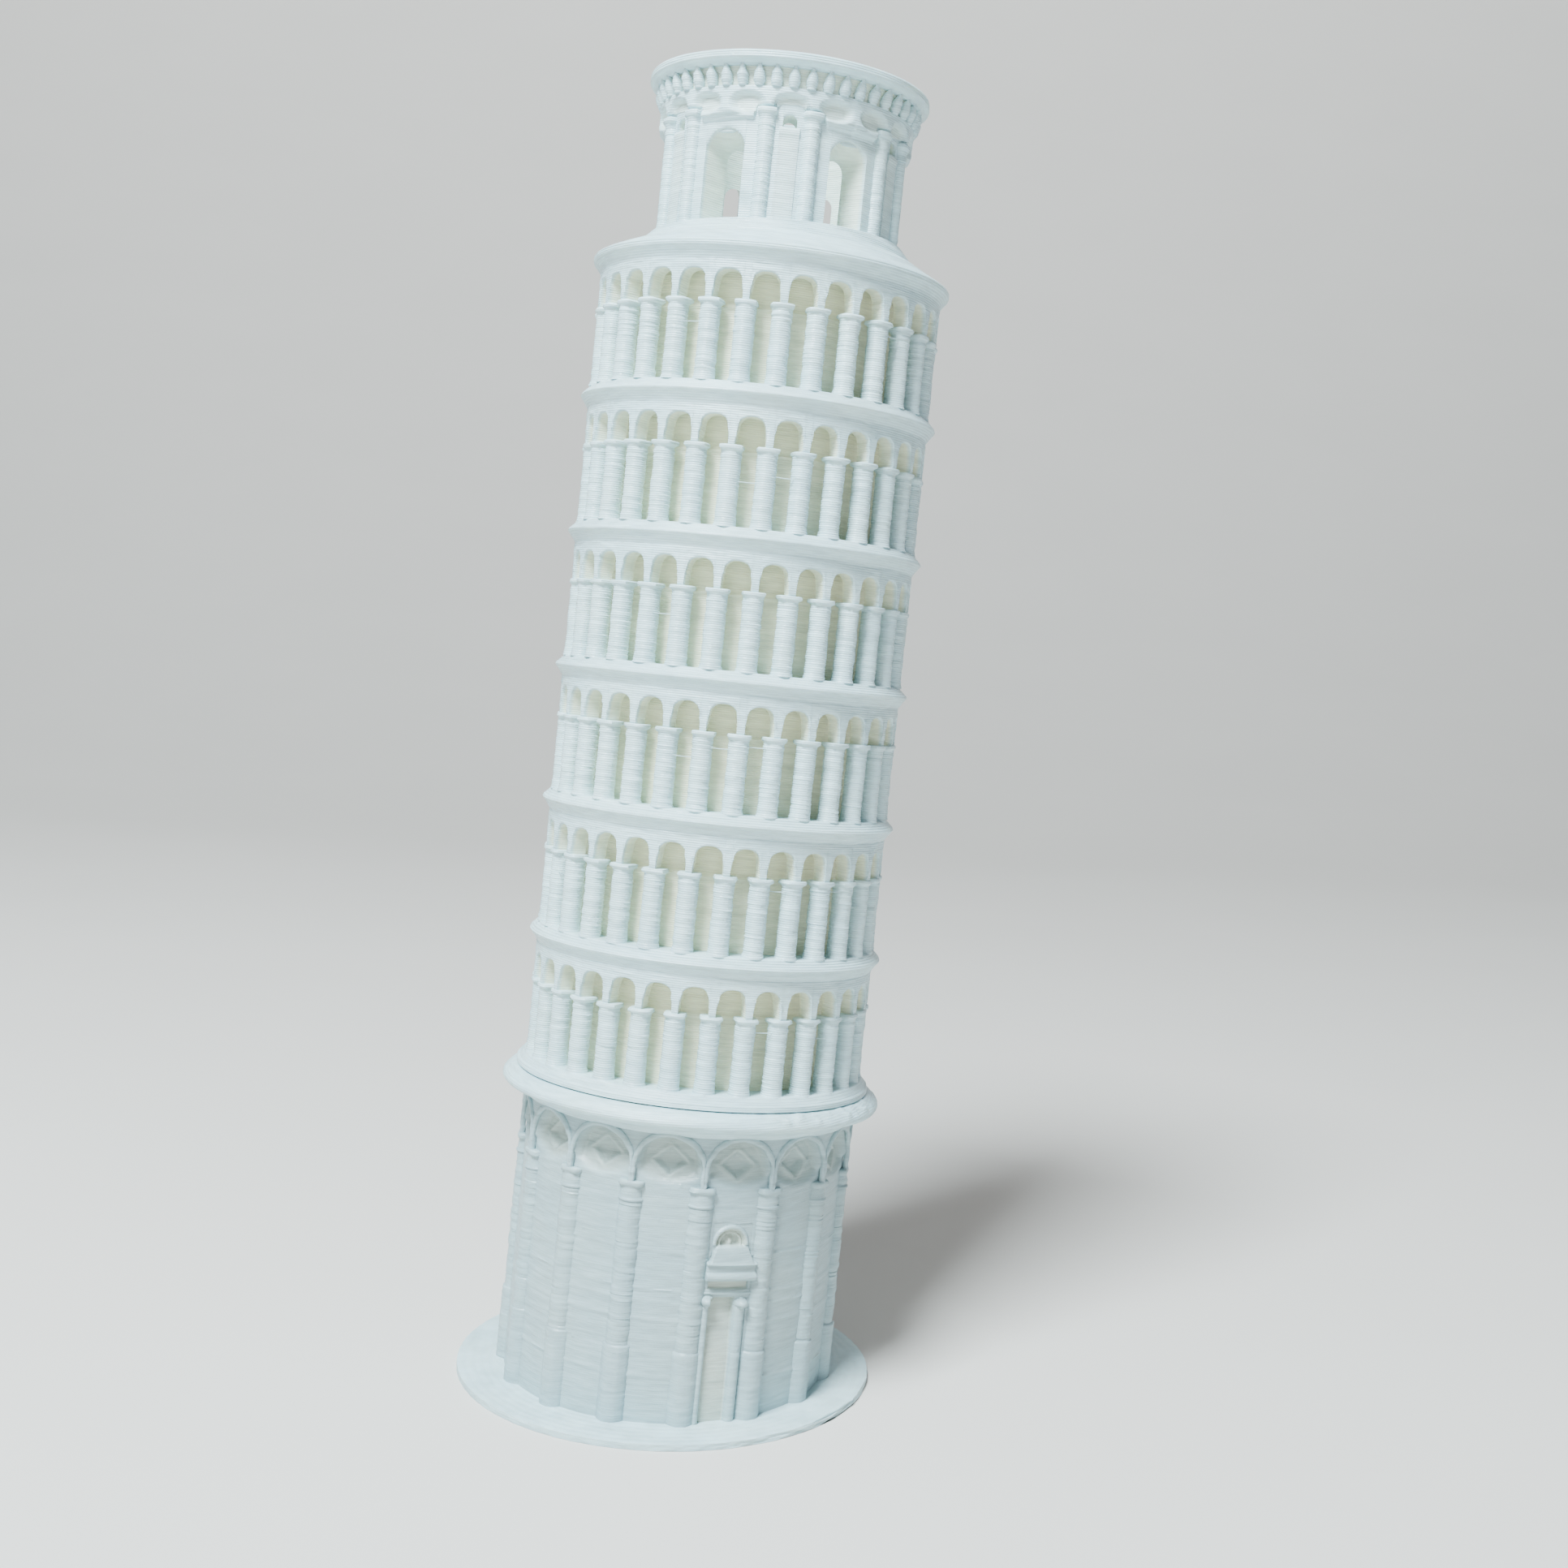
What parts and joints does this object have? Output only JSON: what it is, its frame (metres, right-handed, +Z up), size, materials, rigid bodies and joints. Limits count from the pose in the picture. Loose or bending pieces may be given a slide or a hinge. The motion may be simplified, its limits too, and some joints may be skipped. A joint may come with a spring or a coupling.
{
  "type": "miniature landmark model",
  "caption": "Small white printed model of a round leaning bell tower with arcaded galleries, an open belfry on top and a thin disc plinth; stands free on its base.",
  "frame": {"origin": "centre of the plinth's underside", "axes": "+Z up, square to the plinth; the front, with the doorway just right of centre, faces -Y; the tower leans 4 degrees towards +X and +Y"},
  "size_m": [0.0425, 0.0417, 0.1234],
  "materials": {
    "white_filament": "satin white printing plastic with fine horizontal layer lines"
  },
  "bodies": {
    "root": {"belfry_columns": "white_filament", "belfry_drum": "white_filament", "corbel_ring": "white_filament", "crown_rim": "white_filament", "gallery_1_colonnade": "white_filament", "gallery_1_core": "white_filament", "gallery_1_cornice": "white_filament", "gallery_2_colonnade": "white_filament", "gallery_2_core": "white_filament", "gallery_2_cornice": "white_filament", "gallery_3_colonnade": "white_filament", "gallery_3_core": "white_filament", "gallery_3_cornice": "white_filament", "gallery_4_colonnade": "white_filament", "gallery_4_core": "white_filament", "gallery_4_cornice": "white_filament", "gallery_5_colonnade": "white_filament", "gallery_5_core": "white_filament", "gallery_5_cornice": "white_filament", "gallery_6_colonnade": "white_filament", "gallery_6_core": "white_filament", "ground_arcade": "white_filament", "ground_cornice": "white_filament", "ground_wall": "white_filament", "plinth_disc": "white_filament", "portal_surround": "white_filament", "roof_ledge": "white_filament", "upper_foot_disc": "white_filament"}
  },
  "joints": []
}
